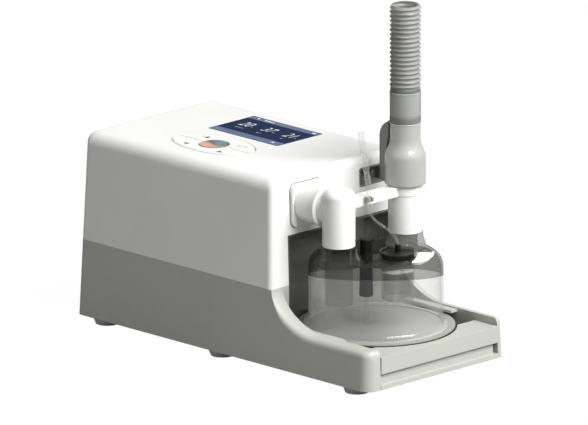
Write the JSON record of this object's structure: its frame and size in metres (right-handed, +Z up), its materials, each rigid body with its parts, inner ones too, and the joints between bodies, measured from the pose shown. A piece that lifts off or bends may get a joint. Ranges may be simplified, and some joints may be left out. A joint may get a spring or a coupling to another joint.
{
  "type": "mechanical ventilator",
  "caption": "Bench respiratory unit: two-part case with top display and keypad, heated bay holding a clear water chamber, air adapter and corrugated tube.",
  "frame": {"origin": "middle of the case's footprint, on the table under the rubber feet", "axes": "+X along the case towards the water chamber, +Y to the back, +Z up"},
  "size_m": [0.312, 0.1476, 0.2723],
  "materials": {
    "case_white": "satin moulded ABS",
    "case_grey": "fine-textured moulded ABS",
    "liner_dark": "dark polished ABS",
    "black_plastic": "moulded nylon",
    "screen": "printed acrylic window",
    "key_white": "soft-touch keys",
    "key_metal": "spun anodised disc",
    "board": "solder-masked laminate",
    "steel": "zinc-plated",
    "contact": "gold-plated pins",
    "rubber": "moulded rubber",
    "foam": "open-cell filter foam",
    "duct_grey": "moulded ducting",
    "alu": "turned plate",
    "heater_foil": "polyimide foil",
    "ceramic_white": "ceramic body",
    "clear": "clear polycarbonate",
    "smoked": "smoked polycarbonate",
    "ring_light": "light grey ring",
    "adapter_white": "polypropylene",
    "line_clear": "clear vinyl tube",
    "hose_grey": "moulded elastomer",
    "hose_soft": "corrugated polyethylene",
    "cuff_soft": "translucent cuff",
    "float_white": "foamed polypropylene",
    "motor_can": "drawn can",
    "cable_grey": "ribbon cable"
  },
  "bodies": {
    "housing": {"lower_shell": "case_grey", "upper_shell": "case_white", "bay_liner": "liner_dark", "outlet_flange": "case_white", "outlet_seal": "rubber", "tube_socket": "black_plastic", "socket_contacts": "contact", "display_lens": "screen", "display_module": "steel", "key_frame": "key_white", "key_switches": "black_plastic", "control_board": "board", "alarm_buzzer": "black_plastic", "power_board": "board", "ribbon_cable": "cable_grey", "power_inlet": "black_plastic", "oxygen_inlet": "ring_light", "oxygen_hose": "line_clear", "filter_seat": "duct_grey", "blower_housing": "black_plastic", "blower_cover": "black_plastic", "blower_motor": "motor_can", "blower_dampers": "rubber", "blower_screws": "steel", "outlet_duct": "duct_grey", "flow_sensor": "black_plastic", "heater_housing": "black_plastic", "heater_springs": "steel", "guard_springs": "steel", "rubber_feet": "rubber", "case_screws": "steel"},
    "impeller": {"impeller": "ceramic_white", "motor_shaft": "steel"},
    "heater": {"heater_plate": "alu", "heating_element": "heater_foil", "thermal_cutout": "ceramic_white"},
    "guard": {"chamber_guard": "case_grey"},
    "down_key": {"key_down": "key_white"},
    "up_key": {"key_up": "key_white"},
    "silence_key": {"key_silence": "key_white"},
    "power_key": {"key_power": "key_white"},
    "middle_key": {"centre_key": "key_metal"},
    "filter": {"filter_cover": "case_white", "air_filter": "foam"},
    "chamber": {"base_plate": "alu", "base_ring": "ring_light", "base_gasket": "rubber", "chamber_bell": "clear", "chamber_cap": "smoked", "feed_hub": "black_plastic", "valve_column": "black_plastic", "inlet_baffle": "clear", "port_adapter": "adapter_white", "port_seals": "rubber", "tube_clip": "black_plastic", "water_line": "line_clear"},
    "float": {"float": "float_white"},
    "hose": {"hose_connector": "hose_grey", "hose_cuff": "cuff_soft", "breathing_hose": "hose_soft"}
  },
  "joints": [
    {"name": "impeller_spin", "type": "hinge", "parent": "housing", "child": "impeller", "pos_m": [-0.04, 0.006, 0.09], "axis": [0, 0, 1], "continuous": true},
    {"name": "heater_press", "type": "slide", "parent": "housing", "child": "heater", "axis": [0, 0, -1], "range_m": [0, 0.0015], "stiffness_N_per_m": 3000, "springref_m": -0.002, "deforming": ["heater_springs"]},
    {"name": "guard_press", "type": "slide", "parent": "housing", "child": "guard", "axis": [0, 0, -1], "range_m": [0, 0.005], "stiffness_N_per_m": 600, "springref_m": -0.003, "deforming": ["guard_springs"]},
    {"name": "down_key_press", "type": "slide", "parent": "housing", "child": "down_key", "axis": [0, 0, -1], "range_m": [0, 0.0006], "stiffness_N_per_m": 2500},
    {"name": "up_key_press", "type": "slide", "parent": "housing", "child": "up_key", "axis": [0, 0, -1], "range_m": [0, 0.0006], "stiffness_N_per_m": 2500},
    {"name": "silence_key_press", "type": "slide", "parent": "housing", "child": "silence_key", "axis": [0, 0, -1], "range_m": [0, 0.0006], "stiffness_N_per_m": 2500},
    {"name": "power_key_press", "type": "slide", "parent": "housing", "child": "power_key", "axis": [0, 0, -1], "range_m": [0, 0.0006], "stiffness_N_per_m": 2500},
    {"name": "middle_key_press", "type": "slide", "parent": "housing", "child": "middle_key", "axis": [0, 0, -1], "range_m": [0, 0.0006], "stiffness_N_per_m": 2500},
    {"name": "filter_pull", "type": "slide", "parent": "housing", "child": "filter", "axis": [0, 1, 0], "range_m": [0, 0.03]},
    {"name": "chamber_slide", "type": "slide", "parent": "housing", "child": "chamber", "axis": [1, 0, 0], "range_m": [0, 0.13]},
    {"name": "float_rise", "type": "slide", "parent": "chamber", "child": "float", "axis": [0, 0, 1], "range_m": [0, 0.008]},
    {"name": "hose_pull", "type": "slide", "parent": "chamber", "child": "hose", "axis": [0, 0, 1], "range_m": [0, 0.03]}
  ]
}
